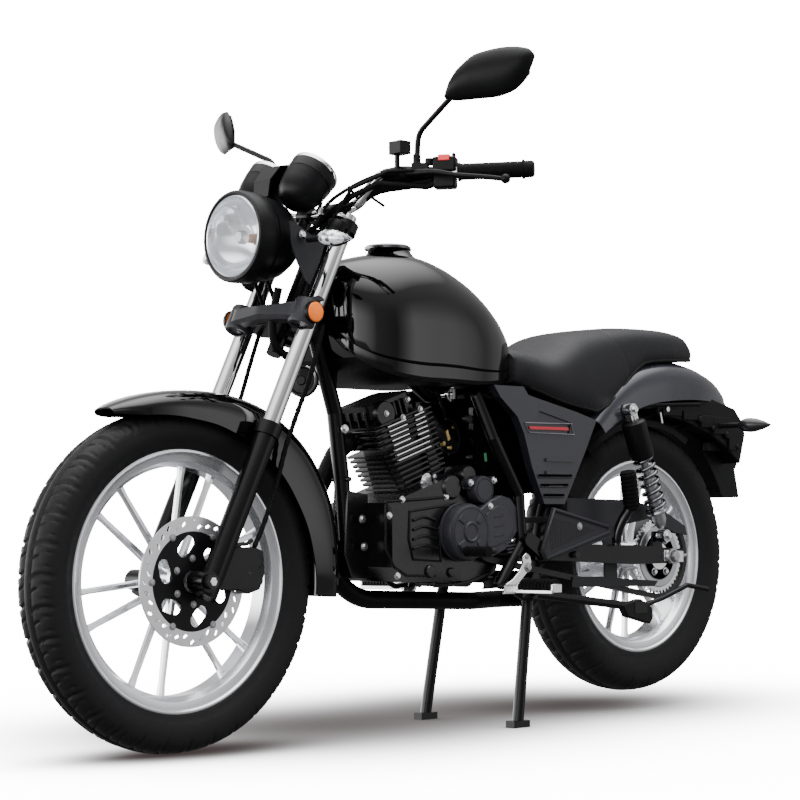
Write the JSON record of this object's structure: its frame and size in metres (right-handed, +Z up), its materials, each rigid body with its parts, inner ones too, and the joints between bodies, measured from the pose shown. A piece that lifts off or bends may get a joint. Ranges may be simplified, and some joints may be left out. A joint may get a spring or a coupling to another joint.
{
  "type": "motorcycle",
  "caption": "Light cruiser motorcycle with a teardrop tank, stepped seat, telescopic fork, cast wheels, air-cooled single engine, twin shocks, two stands.",
  "frame": {"origin": "on the floor, midway between the two ends of the bike, in its middle plane", "axes": "+X points to the front, +Y to the rider's left, +Z up"},
  "size_m": [2.048, 0.944, 1.3203],
  "materials": {
    "tyre": "treaded rubber",
    "cast_silver": "polished casting",
    "satin_silver": "satin casting",
    "brake_disc": "brushed",
    "steel": "plain",
    "chrome": "mirror bright",
    "chrome_spring": "bright spring, black body",
    "black_steel": "satin paint",
    "black_engine": "satin heat paint",
    "gloss_black": "high gloss",
    "matte_black": "moulded",
    "signal_body": "clear lens on a dark body",
    "clear_glass": "clear",
    "amber": "reflector",
    "red_lens": "lamp lens",
    "rubber": "moulded grip",
    "seat_cover": "grained cover, stitched",
    "black_exhaust": "satin heat paint"
  },
  "bodies": {
    "frame": {"front_sprocket": "steel", "chain": "steel", "rear_axle": "steel", "shock_absorbers": "chrome_spring", "frame_front": "black_steel", "frame_rear": "black_steel", "swingarm": "black_steel", "chain_guards": "black_steel", "rider_pegs": "black_steel", "pillion_pegs": "black_steel", "brake_pedal": "black_steel", "shift_lever": "black_steel", "engine_case": "black_engine", "left_covers": "black_engine", "right_cover": "black_engine", "cylinder": "black_engine", "cylinder_head": "black_engine", "fuel_tank": "gloss_black", "rear_fender": "gloss_black", "side_covers": "matte_black", "inner_fender": "matte_black", "battery_box": "matte_black", "plate_holder": "matte_black", "rear_signals": "signal_body", "seat": "seat_cover", "exhaust_pipe": "black_exhaust", "muffler": "black_exhaust", "carburettor": "satin_silver", "tail_lamp": "red_lens"},
    "steering": {"fork_stanchions": "chrome", "fork_sliders": "satin_silver", "front_axle": "steel", "brake_caliper": "black_steel", "lower_yoke": "black_steel", "upper_yoke": "black_steel", "fork_cover": "black_steel", "fork_reflectors": "amber", "front_fender": "gloss_black", "headlamp_shell": "gloss_black", "headlamp_lens": "clear_glass", "headlamp_bracket": "black_steel", "front_signals": "signal_body", "gauge_cups": "matte_black", "gauge_rings": "chrome", "gauge_glass": "clear_glass", "handlebar": "chrome", "grips": "rubber", "switch_boxes": "matte_black", "hand_levers": "satin_silver", "mirrors": "matte_black", "cables": "matte_black"},
    "front_wheel": {"front_tyre": "tyre", "front_rim": "cast_silver", "front_disc": "brake_disc"},
    "rear_wheel": {"rear_tyre": "tyre", "rear_rim": "cast_silver", "rear_sprocket": "steel"},
    "fuel_cap": {"fuel_cap": "chrome"},
    "side_stand": {"side_stand": "black_steel"},
    "centre_stand": {"centre_stand": "black_steel"}
  },
  "joints": [
    {"name": "steering", "type": "hinge", "parent": "frame", "child": "steering", "pos_m": [0.6548, 0, 0.293], "axis": [-0.4384, 0, 0.8988], "range_deg": [-35, 35]},
    {"name": "front_wheel", "type": "hinge", "parent": "steering", "child": "front_wheel", "pos_m": [0.706, 0, 0.318], "axis": [0, 1, 0], "continuous": true},
    {"name": "rear_wheel", "type": "hinge", "parent": "frame", "child": "rear_wheel", "pos_m": [-0.594, 0, 0.346], "axis": [0, 1, 0], "continuous": true},
    {"name": "fuel_cap", "type": "hinge", "parent": "frame", "child": "fuel_cap", "pos_m": [0.09507, 0, 0.99], "axis": [0, -1, 0], "range_deg": [0, 95]},
    {"name": "side_stand", "type": "hinge", "parent": "frame", "child": "side_stand", "pos_m": [-0.102, 0.162, 0.276], "axis": [0.0482, -0.857, -0.5131], "range_deg": [0, 117]},
    {"name": "centre_stand", "type": "hinge", "parent": "frame", "child": "centre_stand", "pos_m": [-0.139, 0, 0.308], "axis": [0, 1, 0], "range_deg": [0, 80]}
  ]
}
